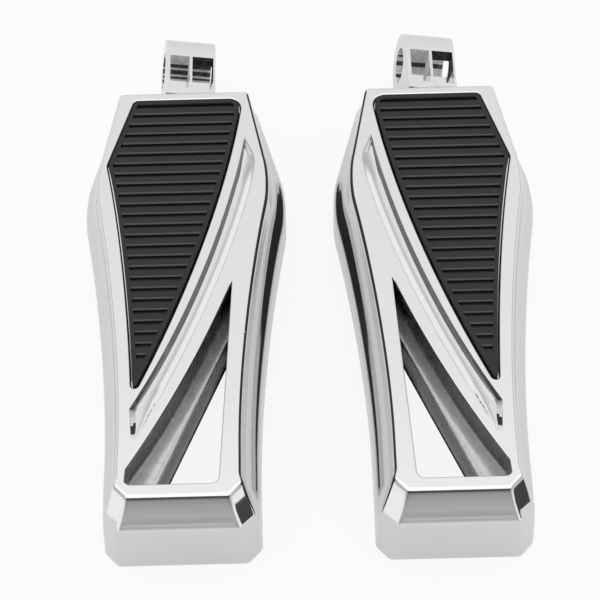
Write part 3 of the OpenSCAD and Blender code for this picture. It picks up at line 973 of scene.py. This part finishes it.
def place_group(tree, key, vector=None, **values):
    node = tree.nodes.new("ShaderNodeGroup")
    node.node_tree = GROUP[key]
    if vector is not None:
        feed(tree, node, {"Vector": vector})
    feed(tree, node, {label.replace("_", " ").capitalize(): value for label, value in values.items()})
    return node.outputs


def shade(tint, share, lift=0.0):
    """A darker or a paler tint."""
    return tuple(min(1, c * share + lift) for c in tint)


def blend_color(tree, mask, a, b):
    return mix_colors(tree, mask, (*a, 1), (*b, 1))


def span_value(tree, clouds, low, high):
    """Spreads the middle of the clouds from a low value to a high one."""
    return map_value(tree, clouds, (0.3, 0.7, low, high))


def bump(tree, height, distance, strength, normal=None):
    node = tree.nodes.new("ShaderNodeBump")
    feed(tree, node, {"Distance": distance, "Strength": strength, "Height": height})
    if normal is not None:
        feed(tree, node, {"Normal": normal})
    return node.outputs["Normal"]


def dress(tree, shader, color, roughness, normal):
    feed(tree, shader, {"Base Color": color, "Roughness": roughness, "Normal": normal})


def chrome_finish(name, tint, roughness, ripple, pit_share):
    """Bright plated metal: slow ripple, faint haze and rare pits."""
    mat, tree, shader, at = new_material(name, 1.0)
    grain = place_group(tree, "grain", at["Object"], fine_scale=900.0, cloud_scale=45.0)
    pits = place_group(tree, "pits", at["Object"], scale=110.0, share=pit_share)
    color = blend_color(tree, pits["Mask"], tint, shade(tint, 0.45))
    haze = span_value(tree, grain["Clouds"], roughness * 0.6, roughness * 1.5)
    rough = math_node(tree, "MULTIPLY_ADD", pits["Mask"], 0.3, haze)
    wavy = bump(tree, grain["Clouds"], 0.4 * MM, ripple)
    dress(tree, shader, color, rough, bump(tree, pits["Height"], 0.12 * MM, 0.8, wavy))
    return mat


def rubber_finish(name, tint):
    """Moulded rubber: fine grain, dusty clouds, and a painted highlight: paler colour
    on faces that tilt up and towards the outboard end, as on the ribs' near bevels."""
    mat, tree, shader, at = new_material(name, 0.0)
    shader.inputs["Specular IOR Level"].default_value = 0.28
    grain = place_group(tree, "grain", at["Object"], fine_scale=2600.0, cloud_scale=120.0)
    facing = split_vector(tree, at["Normal"])
    # Painted highlight: faces that lean up and towards the outboard end are made paler
    painted_edge_highlight = math_node(tree, "MULTIPLY", facing["Y"], -2.2, clamp=True)
    up = math_node(tree, "MULTIPLY", facing["Z"], 2.5, clamp=True)
    painted_edge_highlight = math_node(tree, "MULTIPLY", painted_edge_highlight, up)
    # The mask holds the dusty clouds and the painted highlight together
    cloud = math_node(tree, "MULTIPLY", grain["Clouds"], 0.1)
    mask = math_node(tree, "ADD", cloud, painted_edge_highlight, clamp=True)
    dress(tree, shader, blend_color(tree, mask, tint, shade(tint, 4, 0.05)),
          span_value(tree, grain["Clouds"], 0.42, 0.6), bump(tree, grain["Height"], 0.06 * MM, 0.5))
    return mat


def cast_finish(name, tint, metallic, depth):
    """Rough casting with bright specks: unplated metal in a dark tint, painted light in a white tint."""
    mat, tree, shader, at = new_material(name, metallic)
    grain = place_group(tree, "grain", at["Object"], fine_scale=1300.0, cloud_scale=800.0)
    pits = place_group(tree, "pits", at["Object"], scale=700.0, share=0.4)
    color = blend_color(tree, span_value(tree, grain["Clouds"], 0.0, 1.0), shade(tint, depth), tint)
    rough = math_node(tree, "MULTIPLY_ADD", pits["Mask"], -0.35, 0.6)
    first = bump(tree, grain["Height"], 0.3 * MM, 0.8)
    dress(tree, shader, color, rough, bump(tree, pits["Height"], 0.4 * MM, 0.9, first))
    return mat


def shaded_wall_finish(name, tint, low, high):
    """Casting with painted shade by tilt: near black and speckled on steep walls, pale and soft on ledges
    that face up.
    """
    mat, tree, shader, at = new_material(name, 0.2)
    grain = place_group(tree, "grain", at["Object"], fine_scale=1500.0, cloud_scale=260.0)
    pits = place_group(tree, "pits", at["Object"], scale=900.0, share=0.5)
    # Painted shade: the colour runs from dark on steep faces to pale on faces that point up
    level = map_value(tree, split_vector(tree, at["Normal"])["Z"], (low, high, 0.0, 1.0), "SMOOTHSTEP")
    clouds = span_value(tree, grain["Clouds"], -0.14, 0.14)
    mask = math_node(tree, "ADD", level, clouds, clamp=True)
    first = bump(tree, grain["Height"], 0.12 * MM, 0.5)
    dress(tree, shader, blend_color(tree, mask, shade(tint, 0.05), shade(tint, 1.3)),
          span_value(tree, grain["Clouds"], 0.2, 0.34), bump(tree, pits["Height"], 0.2 * MM, 0.6, first))
    return mat


def steel_finish(name, tint, metallic, low, high):
    """Plated or coated small steel parts."""
    mat, tree, shader, at = new_material(name, metallic)
    grain = place_group(tree, "grain", at["Object"], fine_scale=3000.0, cloud_scale=300.0)
    wear = place_group(tree, "wear", width=0.1)
    dress(tree, shader, blend_color(tree, wear["Mask"], tint, shade(tint, 1.4, 0.05)),
          span_value(tree, grain["Clouds"], low, high), bump(tree, grain["Height"], 0.04 * MM, 0.35))
    return mat


# Grooved tread

TREAD_INPUTS = (
    ("Geometry", "Geometry"), ("Field", "Object"), ("Grooves", "Int"), ("Pitch", "Float"), ("Width", "Float"),
    ("Depth", "Float"), ("Bevel", "Float"), ("First", "Vector"), ("Finish", "Material"))
BAR_LENGTH = 0.08


def tread_tree():
    """Cuts evenly spaced grooves into a pad, inside a plain border."""
    tree = bpy.data.node_groups.new("Tread grooves", "GeometryNodeTree")
    for label, kind in TREAD_INPUTS:
        tree.interface.new_socket(name=label, in_out="INPUT", socket_type="NodeSocket" + kind)
    tree.interface.new_socket(name="Geometry", in_out="OUTPUT", socket_type="NodeSocketGeometry")
    given = tree.nodes.new("NodeGroupInput").outputs

    def make(kind, values, **settings):
        """New node with its settings and inputs, and its first output."""
        node = tree.nodes.new(kind)
        for label, value in settings.items():
            setattr(node, label, value)
        feed(tree, node, values)
        return node.outputs[0] if node.outputs else None

    def vector(x, y, z):
        return make("ShaderNodeCombineXYZ", (x, y, z))

    def cut(operation, whole, *others):
        """Mesh boolean. Only a difference has a whole that is cut."""
        node = tree.nodes.new("GeometryNodeMeshBoolean")
        node.operation = operation
        node.solver = "EXACT"
        if whole:
            tree.links.new(whole, node.inputs["Mesh 1"])
        for other in others:
            tree.links.new(other, node.inputs["Mesh 2"])
        return node.outputs["Mesh"]
    info = tree.nodes.new("GeometryNodeObjectInfo")
    info.transform_space = "RELATIVE"
    feed(tree, info, {"Object": given["Field"]})

    def row(start, size, tilt):
        """Bars across the tread, one to each groove, kept inside the field."""
        step = vector(0.0, math_node(tree, "MULTIPLY", given["Pitch"], -1.0), 0.0)
        line = make("GeometryNodeMeshLine",
                    {"Count": given["Grooves"], "Start Location": start, "Offset": step}, mode="OFFSET")
        bar = make("GeometryNodeMeshCube", {"Size": size})
        bars = make("GeometryNodeInstanceOnPoints",
                    {"Points": line, "Instance": bar, "Rotation": (tilt, 0, 0)})
        real = make("GeometryNodeRealizeInstances", {"Geometry": bars})
        return cut("INTERSECT", None, real, info.outputs["Geometry"])
    depth = math_node(tree, "MULTIPLY", given["Depth"], 2.0)
    slots = row(given["First"], vector(BAR_LENGTH, given["Width"], depth), 0)
    ahead = vector(0.0, math_node(tree, "MULTIPLY", given["Width"], 0.5), 0.0)
    edge = make("ShaderNodeVectorMath", (given["First"], ahead))
    side = math_node(tree, "MULTIPLY", given["Bevel"], math.sqrt(2))
    bevels = row(edge, vector(BAR_LENGTH, side, side), math.radians(45))
    grooved = cut("DIFFERENCE", given["Geometry"], slots, bevels)
    whole = make("GeometryNodeRealizeInstances", {"Geometry": grooved})
    painted = make("GeometryNodeSetMaterial", {"Geometry": whole, "Material": given["Finish"]})
    make("NodeGroupOutput", {"Geometry": painted})
    return tree


def set_input(mod, label, value):
    for item in mod.node_group.interface.items_tree:
        if item.item_type == "SOCKET" and item.in_out == "INPUT" and item.name == label:
            mod[item.identifier] = value
            return
    raise KeyError(label)


# Pieces


class PEGS_OT_finishes(Operator):
    """Make the chrome, rubber and steel finishes"""

    bl_idname = "foot_pegs.finishes"
    bl_label = "Finishes"

    def execute(self, context):
        s = context.scene.foot_peg_finish
        GROUP["pits"], GROUP["grain"], GROUP["wear"] = pits_group(), grain_group(), wear_group()
        FINISH["chrome"] = chrome_finish("Polished chrome", s.chrome_tint, s.chrome_roughness, 0.06, 0.09)
        FINISH["tongue"] = chrome_finish("Tongue chrome", s.chrome_tint, s.chrome_roughness * 2, 0.1, 0.25)
        FINISH["rubber"] = rubber_finish("Tread rubber", s.rubber_tint)
        # Painted shade on the window walls and on the steep wall of the crescent groove
        FINISH["wall"] = shaded_wall_finish("Shaded casting", s.chrome_tint, 0.0, 0.25)
        FINISH["groove"] = shaded_wall_finish("Groove wall", s.chrome_tint, 0.4, 0.8)
        FINISH["cast"] = cast_finish("Raw casting", s.cast_tint, 0.5, 0.2)
        # Painted light: a white copy of the slot casting for the walls of one cell of the slot
        FINISH["bright"] = cast_finish("Bright casting", (0.95, 0.95, 0.95), 0.0, 0.7)
        FINISH["zinc"] = steel_finish("Zinc plated steel", s.zinc_tint, 1.0, 0.24, 0.4)
        FINISH["plate"] = steel_finish("Black coated steel", (0.03, 0.03, 0.032), 0.0, 0.4, 0.6)
        return {"FINISHED"}


def in_window(c):
    """Is this point, in peg millimetres, on the walls or the ledge of the window?"""
    return WINDOW_OUT_Y - 0.1 < c.y < 6.1 and 0.5 < c.z < BODY_H - 0.3 and inside(c, WINDOW_FIELD)


def in_groove_wall(c, rise):
    """Is this face on the steep wall of the crescent groove?"""
    return rise < 0.8 and c.z > BODY_H - CRESCENT_D - 0.1 and c.z < BODY_H - 0.02 and inside(c, GROOVE_FIELD)


WINDOW_FIELD = [(13.9, 7.2)] + [(x - 0.3, y - 0.1) for x, y in curve_points(WINDOW_LEFT, 20, 1)] + [
    (-14.3, -50.9), (10.3, -50.9)]
GROOVE_FIELD = [(x - 0.3, y) for x, y in curve_points(CRESCENT_LEFT, 20)] + [
    (-12.3, -38.8)] + [(x + 0.3, y) for x, y in reversed(curve_points(CRESCENT_RIGHT, 20))]


class PEGS_OT_bodies(Operator):
    """Build the two chromed castings"""

    bl_idname = "foot_pegs.bodies"
    bl_label = "Cast bodies"

    def execute(self, context):
        skin = peg_skin()
        for side in SIDES:
            ob = obj_from(skin.mesh(side + "_casting", side == "right"), side + "_casting")
            for key in ("chrome", "wall", "groove"):
                ob.data.materials.append(FINISH[key])
            turn = -1 if side == "right" else 1
            for poly in ob.data.polygons:
                c = poly.center / MM
                c = Vector((turn * c.x + PITCH / 2, c.y + MID_Y, c.z))
                # Faces in the window and on the groove's steep wall get the finishes with painted shade
                if in_window(c):
                    poly.material_index = 1
                elif in_groove_wall(c, poly.normal.z):
                    poly.material_index = 2
            finish_piece(ob, "chrome_body", side + "_body")
        return {"FINISHED"}


class PEGS_OT_treads(Operator):
    """Build the two grooved rubber treads"""

    bl_idname = "foot_pegs.treads"
    bl_label = "Rubber treads"

    def execute(self, context):
        s = context.scene.foot_peg_tread
        tree = tread_tree()
        for side in SIDES:
            flip = side == "right"
            ob = prism(side + "_tread", pad_outline(PAD_GAP, 0.8), PLATE_TOP, PAD_TOP, flip)
            loop = pad_outline(s.border / MM, 0.5)
            field = prism(side + "_field", loop, PAD_TOP - FIELD_REACH, PAD_TOP + FIELD_REACH, flip)
            mod = ob.modifiers.new("Grooves", "NODES")
            mod.node_group = tree
            first = placed([Vector((0, FIRST_GROOVE_Y, PAD_TOP))], flip)[0]
            values = {"Field": field, "Grooves": s.groove_count, "Pitch": s.groove_pitch,
                      "Width": s.groove_width, "Depth": s.groove_depth, "Bevel": s.edge_bevel,
                      "First": first, "Finish": FINISH["rubber"]}
            for label, value in values.items():
                set_input(mod, label, value)
            bake(ob)
            bpy.data.objects.remove(field)
            finish_piece(ob, "rubber_pad", side + "_tread_pad")
        return {"FINISHED"}


def tongue_block(name, low, high):
    """Box between two corners in tongue millimetres."""
    mesh = bpy.data.meshes.new(name)
    bm = bmesh.new()
    bmesh.ops.create_cube(bm, size=1)
    for v in bm.verts:
        v.co = Vector(mix(low[k], high[k], v.co[k] + 0.5) for k in range(3))
    bm.to_mesh(mesh)
    bm.free()
    return obj_from(mesh, name)


def tongue_rod(name, along, start, end, r, n):
    """Cylinder along X or Y in tongue millimetres."""
    mesh = bpy.data.meshes.new(name)
    bm = bmesh.new()
    bmesh.ops.create_cone(bm, cap_ends=True, segments=n, radius1=r, radius2=r, depth=(end - start).length)
    turn = Matrix.Rotation(math.radians(90), 4, "Y")
    if along == "Y":
        turn = Matrix.Rotation(math.radians(-90), 4, "X")
    bmesh.ops.transform(bm, matrix=Matrix.Translation((start + end) / 2) @ turn, verts=bm.verts)
    bm.to_mesh(mesh)
    bm.free()
    return obj_from(mesh, name)


def tongue_cuts():
    """Flange, pin hole, bolt hole and the two cells of the slot, with the boolean of each."""
    x, y = Vector((1, 0, 0)), Vector((0, 1, 0))
    yield "UNION", tongue_rod("flange", "Y", y * (IN_Y - 3), y * (IN_Y + FLANGE_T), FLANGE_R, 64)
    yield "DIFFERENCE", tongue_rod("pin", "X", y * PIN_Y - x * 20, y * PIN_Y + x * 20, PIN_R, 48)
    yield "DIFFERENCE", tongue_rod("bolt", "Y", y * (IN_Y - 4), y * BOLT_HOLE_END_Y, TONGUE_BOLT_R, 32)
    cells = ((-TONGUE_HALF + SLOT_WALLS[0], -SLOT_WEB), (SLOT_WEB, TONGUE_HALF - SLOT_WALLS[1]))
    for y0, z0, z1 in SLOT_STEPS:
        for x0, x1 in cells:
            yield "DIFFERENCE", tongue_block("slot", (x0, y0, z0), (x1, SLOT_END_Y, z1))


def tongue_piece(name, shift):
    """The tongue in metres: flange, blade with a round end, pin hole and slot."""
    r, root = TONGUE_R, IN_Y + 1
    profile = [(root, -r), (PIN_Y, -r)]
    profile += [(PIN_Y + r * math.sin(a), -r * math.cos(a)) for a in (math.pi * i / 40 for i in range(1, 40))]
    profile += [(PIN_Y, r), (root, r)]
    ob = between(name, *([(x, y, z) for y, z in profile] for x in (-TONGUE_HALF, TONGUE_HALF)))
    cuts = list(tongue_cuts())
    for operation, other in cuts:
        mod = ob.modifiers.new(other.name, "BOOLEAN")
        mod.operation = operation
        mod.object = other
        mod.solver = "EXACT"
    bake(ob)
    for _, other in cuts:
        bpy.data.objects.remove(other)
    bm = bmesh.new()
    bm.from_mesh(ob.data)
    bmesh.ops.remove_doubles(bm, verts=bm.verts, dist=1e-4)
    turn = Matrix.Translation((0, 0, TONGUE_Z)) @ Matrix.Rotation(TONGUE_TURN, 4, "Y")
    bmesh.ops.transform(bm, matrix=turn, verts=bm.verts)
    for v in bm.verts:
        v.co = (v.co + Vector((shift, -MID_Y, 0))) * MM
    bm.to_mesh(ob.data)
    bm.free()
    return ob


def in_slot(c):
    """Is this point, in tongue millimetres, on the walls of the slot?"""
    within = all(a < v < b for a, v, b in zip(SLOT_FIELD[0], c, SLOT_FIELD[1]))
    return within and math.hypot(c.y - PIN_Y, c.z) < SLOT_FIELD_R


class PEGS_OT_tongues(Operator):
    """Build the two mounting tongues"""

    bl_idname = "foot_pegs.tongues"
    bl_label = "Mounting tongues"

    def execute(self, context):
        back = Matrix.Rotation(-TONGUE_TURN, 4, "Y")
        for side, shift in (("left", -PITCH / 2), ("right", PITCH / 2)):
            ob = tongue_piece(side + "_mount", shift)
            for key in ("tongue", "cast", "bright"):
                ob.data.materials.append(FINISH[key])
            for poly in ob.data.polygons:
                c = back @ (poly.center / MM - Vector((shift, -MID_Y, TONGUE_Z)))
                if in_slot(c):
                    # Walls of the +X cell take the dark casting, those of the -X cell the painted light
                    poly.material_index = 1 if c.x > 0 else 2
            round_edges(ob, TONGUE_ROUND * MM, 40)
            bake(ob)
            finish_piece(ob, "chrome_tongue", side + "_tongue")
        return {"FINISHED"}


class PEGS_OT_hardware(Operator):
    """Finish the plates, nuts, washers and bolts"""

    bl_idname = "foot_pegs.hardware"
    bl_label = "Hardware"

    def execute(self, context):
        for name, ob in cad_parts.items():
            if ob.hide_render:
                continue
            mat = FINISH["plate"] if name.endswith("_pad_plate") else FINISH["zinc"]
            ob.data.materials.clear()
            ob.data.materials.append(mat)
        return {"FINISHED"}


# Studio

FLOOR_HALF = 3.0
FLOOR_DROP = 0.0002
FLOOR_TINT = (0.9, 0.9, 0.9, 1)
FLOOR_GLOW = 0.88
FLOOR_GLOSS = 0.4
# x, both ends in y, and both edges in z, in metres: one sheet stands between the
# pegs, and one to the right of their outboard ends
FLAG_SHEETS = ((0.0, -0.074, 0.09, 0.009, 0.06), (0.3, -0.32, -0.12, 0.02, 0.125))
FLAG_TINT = (0.07, 0.07, 0.07, 1)
CAMERA_TARGET = Vector((-3.285, -MID_Y, BODY_H)) * MM
# Place from the back horizon (0) over the top (0.5) to the front horizon (1),
# and the brightness there as a share of the strength
STUDIO_STRENGTH = 1.5
STUDIO_STOPS = (
    (0.0, 0.6), (0.25, 0.66), (0.30, 0.67), (0.345, 0.71), (0.38, 0.79), (0.42, 1.0),
    (0.6, 1.0), (0.635, 0.7), (0.665, 0.07), (0.76, 0.05), (0.8, 0.12), (0.84, 0.22),
    (0.88, 0.32), (0.93, 0.36), (0.97, 0.31), (1.0, 0.5))
# Where the sides of the room begin, and their brightness low down and high up
STUDIO_ASIDE = (0.35, 0.62, 0.0, 1.0)
STUDIO_SIDE = (0.3, 0.5, 0.76, 0.42)


def plain_material(name, tint, roughness):
    mat = bpy.data.materials.new(name)
    mat.use_nodes = True
    shader = mat.node_tree.nodes["Principled BSDF"]
    shader.inputs["Base Color"].default_value = tint
    shader.inputs["Roughness"].default_value = roughness
    return mat


def make_floor():
    """Pale floor that glows a little towards the camera and in reflections."""
    r = FLOOR_HALF
    mesh = bpy.data.meshes.new("Floor")
    mesh.from_pydata([(-r, -r, 0), (r, -r, 0), (r, r, 0), (-r, r, 0)], [], [(0, 1, 2, 3)])
    mat = plain_material("Floor", FLOOR_TINT, 0.8)
    tree = mat.node_tree
    glow = tree.nodes.new("ShaderNodeEmission")
    path = tree.nodes.new("ShaderNodeLightPath").outputs
    seen = math_node(tree, "MULTIPLY", path["Is Camera Ray"], FLOOR_GLOW)
    share = math_node(tree, "ADD", seen, math_node(tree, "MULTIPLY", path["Is Glossy Ray"], FLOOR_GLOSS))
    mix_shaders(tree, share, tree.nodes["Principled BSDF"].outputs[0], glow.outputs[0], "Material Output")
    mesh.materials.append(mat)
    ob = obj_from(mesh, "Floor")
    ob.location.z = -FLOOR_DROP
    return ob


def make_flag():
    """Dark sheets that only reflections show."""
    mesh = bpy.data.meshes.new("Flag")
    pts = []
    for x, y0, y1, z0, z1 in FLAG_SHEETS:
        pts += [(x, y0, z0), (x, y1, z0), (x, y1, z1), (x, y0, z1)]
    mesh.from_pydata(pts, [], [(0, 1, 2, 3), (4, 5, 6, 7)])
    mesh.materials.append(plain_material("Flag", FLAG_TINT, 1))
    ob = obj_from(mesh, "Flag")
    for kind in ("camera", "diffuse", "shadow", "transmission", "volume_scatter"):
        setattr(ob, "visible_" + kind, False)
    return ob


def make_camera(s):
    """Camera that looks down at the pegs from their outboard ends."""
    cam = bpy.data.cameras.new("Camera")
    cam.lens = s.camera_lens
    cam.sensor_width = 36
    cam.clip_start = 0.01
    ob = bpy.data.objects.new("Camera", cam)
    bpy.context.scene.collection.objects.link(ob)
    back = Vector((0, -math.cos(s.camera_elevation), math.sin(s.camera_elevation)))
    turn = Matrix.Rotation(s.camera_roll, 4, "Z")
    look = (-back).to_track_quat("-Z", "Y").to_matrix().to_4x4()
    ob.matrix_world = Matrix.Translation(CAMERA_TARGET + back * s.camera_distance) @ look @ turn
    return ob


def studio_light(tree):
    """White room with a bright ceiling and a dark front wall."""
    at = tree.nodes.new("ShaderNodeTexCoord")
    toward = split_vector(tree, at.outputs["Generated"])
    # Angle in the plane along the pegs, from the back over the top to the front
    ahead = math_node(tree, "MULTIPLY", toward["Y"], -1.0)
    rise = math_node(tree, "ARCTAN2", ahead, toward["Z"])
    ramp = tree.nodes.new("ShaderNodeValToRGB")
    feed(tree, ramp, {"Fac": math_node(tree, "MULTIPLY_ADD", rise, 1 / math.pi, 0.5)})
    stops = ramp.color_ramp.elements
    while len(stops) < len(STUDIO_STOPS):
        stops.new(0.5)
    for stop, (place, value) in zip(stops, STUDIO_STOPS):
        stop.position = place
        stop.color = (value, value, value, 1)
    aside = map_value(tree, math_node(tree, "ABSOLUTE", toward["X"]), STUDIO_ASIDE, "SMOOTHSTEP")
    side = map_value(tree, toward["Z"], STUDIO_SIDE, "SMOOTHSTEP")
    room = tree.nodes["Background"]
    light = mix_colors(tree, aside, ramp.outputs["Color"], side)
    feed(tree, room, {"Color": light, "Strength": STUDIO_STRENGTH})
    white = tree.nodes.new("ShaderNodeBackground")
    white.inputs["Color"].default_value = (1, 1, 1, 1)
    seen = tree.nodes.new("ShaderNodeLightPath").outputs["Is Camera Ray"]
    mix_shaders(tree, seen, room.outputs[0], white.outputs[0], "World Output")


class PEGS_OT_stage(Operator):
    """Set up the floor, the light and the camera"""

    bl_idname = "foot_pegs.stage"
    bl_label = "Studio"

    def execute(self, context):
        scene = context.scene
        scene.view_settings.view_transform = "Standard"
        scene.world = bpy.data.worlds.new("Studio")
        scene.world.use_nodes = True
        studio_light(scene.world.node_tree)
        floor_ob = make_floor()
        flag_ob = make_flag()
        cam_ob = make_camera(scene.foot_peg_stage)
        scene.camera = cam_ob
        return {"FINISHED"}


class PEGS_PT_panel(Panel):
    """Foot peg pieces"""

    bl_idname = "PEGS_PT_panel"
    bl_label = "Foot Pegs"
    bl_space_type = "VIEW_3D"
    bl_region_type = "UI"
    bl_category = "Foot Pegs"

    def draw(self, context):
        col = self.layout.column()
        for cls in STEPS:
            col.operator(cls.bl_idname)
        for group, owner in SETTINGS:
            for name in group.__annotations__:
                col.prop(getattr(context.scene, owner), name)


SETTINGS = (
    (FinishSettings, "foot_peg_finish"), (TreadSettings, "foot_peg_tread"), (StageSettings, "foot_peg_stage"))
STEPS = (
    PEGS_OT_finishes, PEGS_OT_bodies, PEGS_OT_treads, PEGS_OT_tongues,
    PEGS_OT_hardware, PEGS_OT_stage)
CLASSES = tuple(group for group, _ in SETTINGS) + STEPS + (PEGS_PT_panel,)


def register():
    for cls in CLASSES:
        bpy.utils.register_class(cls)
    for group, owner in SETTINGS:
        setattr(bpy.types.Scene, owner, PointerProperty(type=group))


def unregister():
    for _, owner in SETTINGS:
        delattr(bpy.types.Scene, owner)
    for cls in reversed(CLASSES):
        bpy.utils.unregister_class(cls)


def main():
    register()
    for cls in STEPS:
        group, name = cls.bl_idname.split(".")
        getattr(getattr(bpy.ops, group), name)()


if __name__ == "__main__":
    main()
